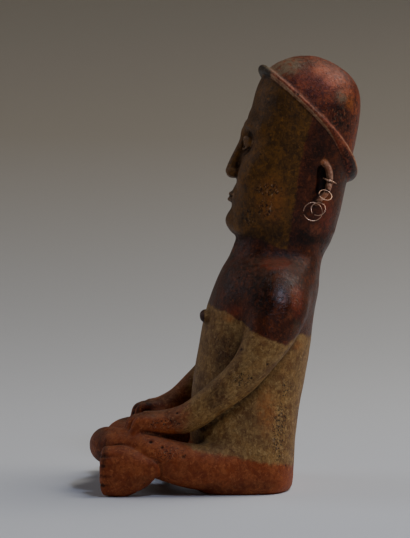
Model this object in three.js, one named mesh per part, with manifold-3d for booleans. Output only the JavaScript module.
// A seated woman of fired clay, 400 mm tall, with thin wire rings in her pierced ears.
//
// She sits upright, leaning back a little, on a flat seat. Her legs are crossed in front, her hands rest
// on them, and each foot comes out beside the other leg with its sole turned outwards. She wears a close
// cap with a raised band that slants from the brow down to the nape. The figure is one piece of clay, and
// each ear ring is a loop of wire of its own.
//
// Millimetres, +Z up. She faces -Y, so her left side is +X. The origin is on the floor, under the middle
// of the figure's box.
import * as THREE from 'three';
import { LoftGeometry } from 'three/addons/geometries/LoftGeometry.js';
import { mergeVertices } from 'three/addons/utils/BufferGeometryUtils.js';
import Module from 'manifold-3d';

const wasm = await Module();
wasm.setup();

// Driving dimensions
const HEIGHT = 400; // floor to crown
const LEAN = 0.2; // how far the face plane leans back for each millimetre of height
const CHIN_Z = 236; // underside of the chin
const CORNER = 2.4; // how square the body's level sections are: 2 is an ellipse
const HEAD_CORNER = 2.6;

// Level sections of the body, from the seat up: height, front, back and half width
const BODY = [
  [0, -29, 54, 73],
  [6, -33, 58.5, 78],
  [20, -34.5, 61.8, 81],
  [44, -34.5, 63.5, 78],
  [72, -34, 67.5, 70],
  [102, -31, 73.3, 66],
  [132, -26, 78.3, 66],
  [160, -20.5, 81.8, 70],
  [182, -13.5, 85.7, 69],
  [199, -6, 87.2, 59],
  [213, 2, 90.5, 45.5],
  [228, 8, 98, 42],
  [240, 15, 101, 41.5],
  [256, 27, 97, 38],
];

// Level sections of the head and the cap's crown. The jaw stands out in front, and the nape runs on down
const HEAD = [
  [CHIN_Z - 8, 20, 78, 25],
  [CHIN_Z - 4, 9.5, 88, 35],
  [CHIN_Z + 2, 4, 99.5, 41],
  [CHIN_Z + 14, 3.5, 105, 45.5],
  [272, 7, 110, 49.5],
  [300, 12.5, 116, 52],
  [328, 18, 122, 53.5],
  [352, 23, 125, 52.5],
  [370, 27.5, 122.5, 48.5],
  [383, 34, 114, 41],
  [392.5, 44, 101, 29.5],
  [398.5, 58, 88, 15.5],
  [HEIGHT, 67, 80, 6],
];

// The cap's band is a thin flange that slants round the head, with a blunt front and a thick roll at the
// nape. proud is how far its middle stands out from the head, radius how far it reaches beyond that, and
// thick half its thickness
const BAND = {
  frontY: 33, frontZ: 387, fall: 0.955, radius: 3.8, thick: 2.4,
  front: { rise: 4, proud: 3, radius: 5.8, thick: 4.5 },
  nape: { rise: -17.5, proud: -1.5, radius: 9.3, thick: 9.3 },
};

// Centre line of each limb: x outwards, y, z, half width from side to side and half thickness
const LEFT_ARM = [
  [47, 47, 187, 16, 20],
  [62, 45, 168, 19, 27.5],
  [70, 38, 145, 18, 23.5],
  [74, 27, 125, 16, 18.5],
  [74, 12, 105, 15.5, 16],
  [70, -11, 85.5, 15, 14.5],
  [64.5, -34, 68.5, 14.5, 13.5],
  [60.5, -57, 62.5, 16, 12],
  [58.5, -74, 62, 17, 11.5],
];
const RIGHT_ARM = [
  [47, 47, 187, 16, 20],
  [62, 43, 169, 19, 27.5],
  [70.5, 32, 149, 18, 24.5],
  [75, 17, 129, 16, 19.5],
  [76, -7, 109, 15.5, 16],
  [73, -27, 89.5, 15, 14.5],
  [67, -45, 74, 14, 13],
  [61, -61, 66, 15.5, 12],
  [59, -73.5, 64, 16.5, 11],
];

// Fingers, outermost first: how far the bent knuckle lies outwards and forward from the hand's end
const FINGERS = [[12.5, -5], [4.5, -9.5], [-4, -11], [-12, -7.5]];
const FINGER = { radius: 5, drop: 7, reach: 4, back: 4 };
const THUMB = [[-7, 20, -1, 6.5, 6.5], [-14.5, 6, -5, 6, 6], [-18, -7, -10, 4.8, 4.8]];

const THIGH = [
  [38, 20, 22, 22, 20],
  [62, 2, 22.5, 22, 21.5],
  [71, -30, 25, 19.5, 20.5],
  [71.5, -58, 32, 18, 18.8],
  [66, -82, 39, 17.5, 18],
];
const UPPER_SHIN = [
  [51, -103.5, 41, 18, 17.5],
  [26, -109.5, 39, 17, 17],
  [-4, -104, 34.5, 16, 16.5],
  [-34, -91, 27, 14, 14.5],
  [-60, -78, 22, 10, 11],
];
const LOWER_SHIN = [
  [52, -100, 37, 18, 18],
  [28, -98, 28.5, 16, 16],
  [-2, -90, 21, 14, 14.5],
  [-32, -81, 19, 12.5, 13.5],
  [-60, -74, 20, 10, 11],
];

const FOOT = [
  [77, -68, 21, 9, 9.5],
  [80, -78, 20.5, 11, 17],
  [82.5, -92, 22.5, 12, 23],
  [83, -106, 22.5, 11.5, 22.5],
];
// How far the heel and the toes round off, as a share of the foot's half width
const FOOT_TIPS = { heel: 0.75, toes: 0.7, bluntness: 0.55 };
const TOE_GROOVES = { heights: [36.5, 28, 19, 10.5], deep: 2.4, half: 1.5 };

// The lap fills the fork of the thighs: its middle, and its half sizes
const LAP = { at: [0, -22, 19], radii: [54, 30, 18] };

const BREAST = { x: 29, y: -18.5, z: 157, radii: [7.5, 7, 6] };

// The face is laid out in thirds, from the chin to the brow and on to the cap
const FACE_THIRD = (BAND.frontZ - CHIN_Z) / 3;
const NOSE_Z = CHIN_Z + FACE_THIRD;
const BROW_Z = CHIN_Z + 2 * FACE_THIRD;
const EYE_Z = (CHIN_Z + HEIGHT) / 2;
const MOUTH_Z = NOSE_Z - FACE_THIRD / 3;
const EYE = { x: 21, width: 24, height: 11, depth: 6, proud: 3.2, slit: 1 };
// The nose's ridge: share of the way down it, rise and half width
const NOSE_RIDGE = [[-0.12, 0.4, 4.5], [0.2, 4, 5], [0.55, 9, 6], [0.85, 14, 7]];
const NOSTRIL = { x: 6.5, y: 4, rise: 4.5, radii: [5, 7, 4.5] };
const MOUTH_WIDTH = 27;
const LIPS = [{ rise: 2.1, thick: 3 }, { rise: -2.6, thick: 3.2 }];

// An ear is a raised curl with a deep hollow in front of it: y, z, half thickness and half rise
const EAR_X = 47.5;
const EAR = [
  [84, 299.5, 2.6, 4],
  [89.2, 296, 2.8, 5.4],
  [92.2, 287, 2.9, 6],
  [91, 277, 2.9, 6],
  [87.4, 268.5, 2.7, 5.4],
  [79.5, 260.7, 2.3, 4.8],
];
const EAR_HOLLOW = [[48, 85.8, 290.5, 5, 3.8], [48, 86.2, 281, 5.4, 4.4], [47.5, 84.5, 272.5, 5, 4]];

// Holes pierced through the ear from front to back: the middle, the slope down to the back and the radius
const PIERCINGS = {
  upper: { at: [50.6, 91.9, 280.5], slope: 23, radius: 1.4 },
  middle: { at: [50.6, 90, 271.8], slope: 23, radius: 1.4 },
  lower: { at: [50.2, 80, 260.7], slope: 0, radius: 1.9 },
};

// Ear rings: the hole each hangs in, its radius, how far it tilts outwards from hanging straight down,
// its slope down to the back where it passes through the ear, and any shift outwards in the hole
const WIRE_RADIUS = 0.45;
const RINGS = {
  left_ear_ring_upper: { side: 1, hole: 'upper', radius: 6.3, out: 90, slope: 23, shift: 0 },
  left_ear_ring_middle: { side: 1, hole: 'middle', radius: 6, out: 40, slope: 23, shift: 0 },
  left_ear_ring_lower_small: { side: 1, hole: 'lower', radius: 6.5, out: 26, slope: -18, shift: 0.6 },
  left_ear_ring_lower_large: { side: 1, hole: 'lower', radius: 8.5, out: 12, slope: 20, shift: -0.6 },
  right_ear_ring_upper: { side: -1, hole: 'middle', radius: 6, out: 40, slope: 23, shift: 0 },
  right_ear_ring_lower: { side: -1, hole: 'lower', radius: 7.4, out: 18, slope: 6, shift: 0 },
};

// The clay's own colour under worn slip, and the wire's
const CLAY = new THREE.MeshStandardMaterial({ color: 0x9a6a45, roughness: 0.6, metalness: 0 });
const WIRE = new THREE.MeshStandardMaterial({ color: 0xb08a62, roughness: 0.35, metalness: 1 });

const UP = new THREE.Vector3(0, 0, 1);
const FORWARD = new THREE.Vector3(0, -1, 0);
const SIDEWAYS = new THREE.Vector3(1, 0, 0);
const radians = THREE.MathUtils.degToRad;

// A smooth curve through rows of numbers, read at any place from the first row, 0, to the last, 1
function through(rows) {
  const places = rows.map((_, i) => i / (rows.length - 1));
  const curve = new THREE.CubicInterpolant(places, rows.flat(), rows[0].length, []);
  return (place) => [...curve.evaluate(place)];
}

// A signed power, for the rounded corners of a section
const bent = (value, power) => Math.sign(value) * Math.abs(value) ** power;

// A solid from a three.js geometry whose surface closes on itself
function solid(geometry) {
  const bare = new THREE.BufferGeometry();
  bare.setAttribute('position', geometry.attributes.position);
  bare.setIndex(geometry.index);
  const merged = mergeVertices(bare, 1e-3);
  const index = merged.index.array;
  const triVerts = [];
  for (let i = 0; i < index.length; i += 3) {
    const [a, b, c] = index.subarray(i, i + 3);
    if (a !== b && b !== c && c !== a) triVerts.push(a, b, c);
  }
  return new wasm.Manifold(new wasm.Mesh({
    numProp: 3,
    vertProperties: merged.attributes.position.array,
    triVerts: new Uint32Array(triVerts),
  }));
}

// A geometry with flat faces from a finished solid
function geometryOf(made) {
  const mesh = made.getMesh();
  const indexed = new THREE.BufferGeometry();
  indexed.setAttribute('position', new THREE.BufferAttribute(mesh.vertProperties, 3));
  indexed.setIndex(new THREE.BufferAttribute(mesh.triVerts, 1));
  const geometry = indexed.toNonIndexed();
  geometry.computeVertexNormals();
  return geometry;
}

// A body of level sections
function column(rows, { sides, levels, corner }) {
  const at = through(rows);
  const sections = [];
  for (let i = 0; i <= levels; i++) {
    const [z, front, back, wide] = at(i / levels);
    const section = [];
    for (let j = 0; j < sides; j++) {
      const angle = (2 * Math.PI * j) / sides;
      const x = wide * bent(Math.cos(angle), 2 / corner);
      const y = (front + back) / 2 + ((back - front) / 2) * bent(Math.sin(angle), 2 / corner);
      section.push(new THREE.Vector3(x, y, z));
    }
    sections.push(section);
  }
  return solid(new LoftGeometry(sections, { capStart: true, capEnd: true }));
}

// An oval section across a line: across and high are its half sizes
function ovalAt(centre, along, across, high, sides, reference) {
  const side = new THREE.Vector3().crossVectors(along, reference).normalize();
  const rise = new THREE.Vector3().crossVectors(along, side);
  const section = [];
  for (let j = 0; j < sides; j++) {
    const angle = (2 * Math.PI * j) / sides;
    section.push(centre.clone()
      .addScaledVector(side, across * Math.cos(angle))
      .addScaledVector(rise, high * Math.sin(angle)));
  }
  return section;
}

// A rounded limb along rows of x, y, z, half width across and half height. A bluntness under 1 squares off
// its tips
function limb(rows, {
  sides = 10, steps = 6, tips = [1, 1], tipAngles = [78, 45], reference = UP, bluntness = 1,
} = {}) {
  const at = through(rows);
  const centreAt = (place) => new THREE.Vector3(...at(place).slice(0, 3));
  const STEP = 0.01;
  const alongAt = (place) => centreAt(Math.min(1, place + STEP))
    .sub(centreAt(Math.max(0, place - STEP)))
    .normalize();
  const sections = [];
  const tip = (place, way, angle) => {
    const [, , , across, high] = at(place);
    const reach = Math.min(across, high) * tips[place];
    const along = alongAt(place);
    const centre = centreAt(place).addScaledVector(along, way * reach * Math.sin(radians(angle)));
    const shrink = Math.cos(radians(angle)) ** bluntness;
    sections.push(ovalAt(centre, along, across * shrink, high * shrink, sides, reference));
  };
  tipAngles.forEach((angle) => tip(0, -1, angle));
  for (let i = 0; i <= steps; i++) {
    const [, , , across, high] = at(i / steps);
    sections.push(ovalAt(centreAt(i / steps), alongAt(i / steps), across, high, sides, reference));
  }
  [...tipAngles].reverse().forEach((angle) => tip(1, 1, angle));
  return solid(new LoftGeometry(sections, { capStart: true, capEnd: true }));
}

// A ball stretched to three half sizes
function ball([x, y, z], [a, b, c], detail = 10) {
  const round = new THREE.SphereGeometry(1, detail, Math.round(detail * 0.7));
  return solid(round.scale(a, b, c).translate(x, y, z));
}

// The same rows on the other side of the body
const mirrored = (rows, side) => rows.map(([x, ...rest]) => [side * x, ...rest]);

// The face's y at a height, and at x to the side of its middle
const faceY = (z, x = 0) => {
  const depth = 52;
  const sag = depth * (1 - (1 - Math.abs(x / depth) ** HEAD_CORNER) ** (1 / HEAD_CORNER));
  return 3.5 + (z - CHIN_Z - 14) * LEAN + sag;
};

// A place on the head's surface and its outward direction: angle 0 is the face, 180 the nape
function onHead(angle, z) {
  const levels = HEAD.map((row) => row[0]);
  const above = Math.max(1, levels.findIndex((level) => level >= z));
  const share = (z - levels[above - 1]) / (levels[above] - levels[above - 1]);
  const [, front, back, wide] = through(HEAD)((above - 1 + share) / (HEAD.length - 1));
  const x = wide * bent(Math.sin(angle), 2 / HEAD_CORNER);
  const y = (front + back) / 2 - ((back - front) / 2) * bent(Math.cos(angle), 2 / HEAD_CORNER);
  return new THREE.Vector3(x, y, z);
}

// The cap's band, a closed roll of clay round the head
function band() {
  const STEPS = 26;
  const SIDES = 6;
  const SETTLE = 12;
  const centres = [];
  for (let i = 0; i < STEPS; i++) {
    const angle = (2 * Math.PI * i) / STEPS;
    const nape = ((1 - Math.cos(angle)) / 2) ** 6;
    const brow = ((1 + Math.cos(angle)) / 2) ** 8;
    let place = new THREE.Vector3(0, BAND.frontY, BAND.frontZ);
    for (let k = 0; k < SETTLE; k++) {
      const slant = BAND.frontZ - BAND.fall * (place.y - BAND.frontY);
      const z = slant + BAND.front.rise * brow + BAND.nape.rise * nape;
      place = onHead(angle, (place.z + z) / 2);
    }
    const blend = (plain, front, back) => plain + (front - plain) * brow + (back - plain) * nape;
    const outward = new THREE.Vector3(Math.sin(angle), -Math.cos(angle), 0);
    place.addScaledVector(outward, blend(0, BAND.front.proud, BAND.nape.proud));
    centres.push({
      place,
      radius: blend(BAND.radius, BAND.front.radius, BAND.nape.radius),
      thick: blend(BAND.thick, BAND.front.thick, BAND.nape.thick),
    });
  }
  const middle = centres.reduce((sum, { place }) => sum.add(place), new THREE.Vector3()).divideScalar(STEPS);
  const sections = [];
  for (let i = 0; i <= STEPS; i++) {
    const { place, radius, thick } = centres[i % STEPS];
    const before = centres[(i + STEPS - 1) % STEPS].place;
    const after = centres[(i + 1) % STEPS].place;
    const along = after.clone().sub(before).normalize();
    const outward = place.clone().sub(middle);
    outward.addScaledVector(along, -outward.dot(along)).normalize();
    const rise = new THREE.Vector3().crossVectors(along, outward);
    const section = [];
    for (let j = 0; j < SIDES; j++) {
      const angle = (2 * Math.PI * j) / SIDES;
      section.push(place.clone()
        .addScaledVector(outward, radius * Math.cos(angle))
        .addScaledVector(rise, thick * Math.sin(angle)));
    }
    sections.push(section);
  }
  return solid(new LoftGeometry(sections));
}

// An arm with its hand, fingers and thumb
function arm(side) {
  const rows = side > 0 ? LEFT_ARM : RIGHT_ARM;
  const [handX, handY, handZ] = rows.at(-1);
  const thickFirst = mirrored(rows, side).map(([x, y, z, wide, thick]) => [x, y, z, thick, wide]);
  let made = limb(thickFirst, { sides: 12, steps: 10, tips: [0.6, 0.5], reference: SIDEWAYS });
  FINGERS.forEach(([out, forward]) => {
    const x = handX + out;
    const y = handY + forward;
    const line = [
      [handX + out * 0.85, handY + FINGER.back, handZ + 4.5],
      [x, y, handZ + 2.5],
      [x + out * 0.05, y - FINGER.reach, handZ - FINGER.drop],
    ].map((place) => [...place, FINGER.radius, FINGER.radius]);
    made = made.add(limb(mirrored(line, side), { sides: 6, steps: 2, tipAngles: [55], reference: SIDEWAYS }));
  });
  const thumb = THUMB.map(([out, forward, rise, ...half]) => [
    handX + out, handY + forward, handZ + rise, ...half]);
  return made.add(limb(mirrored(thumb, side), { sides: 6, steps: 2, tipAngles: [55] }));
}

// A foot on its edge, with cuts between the toes
function foot(side) {
  const { heel, toes, bluntness } = FOOT_TIPS;
  const { heights, deep, half } = TOE_GROOVES;
  const TURNS = [-30, 0, 45, 90, 135, 180, 210];
  let made = limb(mirrored(FOOT, side), { sides: 12, steps: 5, tips: [heel, toes], bluntness });
  const [x, y, middle, across, high] = FOOT.at(-1);
  heights.forEach((z) => {
    const share = Math.abs(z - middle) / high;
    const outwards = across * Math.sqrt(1 - share ** 2);
    const forwards = across * toes * Math.sqrt(1 - share ** (2 / bluntness));
    const rows = TURNS.map(radians).map((turn) => [
      x + outwards * Math.cos(turn), y - forwards * bent(Math.sin(turn), 0.8), z, deep, half]);
    made = made.subtract(limb(mirrored(rows, side), { sides: 4, steps: 5, tipAngles: [] }));
  });
  return made;
}

// Nose, eyes and mouth
function features() {
  const nose = NOSE_RIDGE.map(([share, proud, half]) => {
    const z = THREE.MathUtils.lerp(BROW_Z, NOSE_Z, share);
    return [0, faceY(z) - proud + half, z, half, half];
  });
  let raised = limb(nose, { reference: FORWARD, sides: 8, steps: 5, tips: [1, 0.8] });
  [-1, 1].forEach((side) => {
    raised = raised
      .add(ball([side * NOSTRIL.x, faceY(NOSE_Z) - NOSTRIL.y, NOSE_Z + NOSTRIL.rise], NOSTRIL.radii, 7))
      .add(ball([side * EYE.x, faceY(EYE_Z, EYE.x) + EYE.depth - EYE.proud, EYE_Z],
        [EYE.width / 2, EYE.depth, EYE.height / 2], 9));
  });
  LIPS.forEach(({ rise, thick }) => {
    const rows = [-0.5, -0.2, 0, 0.2, 0.5].map((share) => {
      const half = thick * (1 - 2.6 * share * share);
      return [share * MOUTH_WIDTH, faceY(MOUTH_Z) + 5 * share * share, MOUTH_Z + rise, half, half];
    });
    raised = raised.add(limb(rows, { sides: 6, steps: 4, tipAngles: [50] }));
  });
  return raised;
}

// A slit cut into the face, as far in at its middle as proud says and running out at both ends
function slit(x, z, half, proud) {
  const rows = [-1, -0.5, 0, 0.5, 1].map((share) => {
    const place = x + half * share;
    return [place, faceY(z, place) - proud * (1 - share * share), z, EYE.slit, EYE.slit];
  });
  return limb(rows, { sides: 4, steps: 4, tipAngles: [] });
}

function ear(side) {
  const rows = EAR.map(([y, z, thick, rise]) => [side * EAR_X, y, z, thick, rise]);
  return limb(rows, { sides: 7, steps: 7, reference: SIDEWAYS });
}

function earHollow(side) {
  return limb(mirrored(EAR_HOLLOW, side), { sides: 7, steps: 2, reference: FORWARD });
}

function piercing(side, { at: [x, y, z], slope, radius }) {
  const LENGTH = 14;
  const hole = new THREE.CylinderGeometry(radius, radius, LENGTH, 6);
  return solid(hole.rotateX(-radians(slope)).translate(side * x, y, z));
}

// A loop of wire, hung where it passes through the ear, with its two ends nearly meeting
function earRing({ side, hole, radius, out, slope, shift }) {
  const POINTS = 12;
  const GAP_DEGREES = 24;
  const GAP_PLACE = -60;
  const backward = new THREE.Vector3(0, Math.cos(radians(slope)), -Math.sin(radians(slope)));
  const hanging = new THREE.Vector3(Math.sin(radians(out)), 0, -Math.cos(radians(out)));
  hanging.addScaledVector(backward, -hanging.dot(backward)).normalize();
  const middle = new THREE.Vector3(...PIERCINGS[hole].at).addScaledVector(hanging, radius);
  middle.x += shift;
  const points = [];
  for (let i = 0; i <= POINTS; i++) {
    const angle = radians(GAP_PLACE + GAP_DEGREES / 2 + ((360 - GAP_DEGREES) * i) / POINTS);
    const place = middle.clone()
      .addScaledVector(hanging, radius * Math.cos(angle))
      .addScaledVector(backward, radius * Math.sin(angle));
    place.x *= side;
    points.push(place);
  }
  const section = new THREE.Shape().absarc(0, 0, WIRE_RADIUS, 0, 2 * Math.PI);
  const path = new THREE.CatmullRomCurve3(points);
  return new THREE.ExtrudeGeometry(section, { steps: POINTS, curveSegments: 3, extrudePath: path });
}

function figure() {
  let made = column(BODY, { sides: 26, levels: 12, corner: CORNER })
    .add(column(HEAD, { sides: 26, levels: 14, corner: HEAD_CORNER }))
    .add(band())
    .add(ball(LAP.at, LAP.radii, 12))
    .add(features())
    .subtract(slit(0, MOUTH_Z, MOUTH_WIDTH * 0.42, 2.5))
    .subtract(slit(EYE.x, EYE_Z, EYE.width * 0.4, EYE.proud))
    .subtract(slit(-EYE.x, EYE_Z, EYE.width * 0.4, EYE.proud));
  [1, -1].forEach((side) => {
    const shin = side > 0 ? UPPER_SHIN : LOWER_SHIN;
    made = made
      .add(limb(mirrored([...THIGH, ...shin], side), { sides: 12, steps: 13 }))
      .add(foot(side))
      .add(arm(side))
      .add(ball([side * BREAST.x, BREAST.y, BREAST.z], BREAST.radii, 8))
      .subtract(earHollow(side))
      .add(ear(side));
    Object.values(PIERCINGS).forEach((hole) => {
      made = made.subtract(piercing(side, hole));
    });
  });
  const FLOOR = 100;
  const below = new THREE.BoxGeometry(3 * HEIGHT, 3 * HEIGHT, FLOOR).translate(0, 0, -FLOOR / 2);
  return made.subtract(solid(below));
}

const part = new THREE.Group();
const body = new THREE.Mesh(geometryOf(figure()), CLAY);
body.name = 'seated_figure';
part.add(body);
for (const [name, ring] of Object.entries(RINGS)) {
  const loop = new THREE.Mesh(earRing(ring), WIRE);
  loop.name = name;
  part.add(loop);
}

export default part;
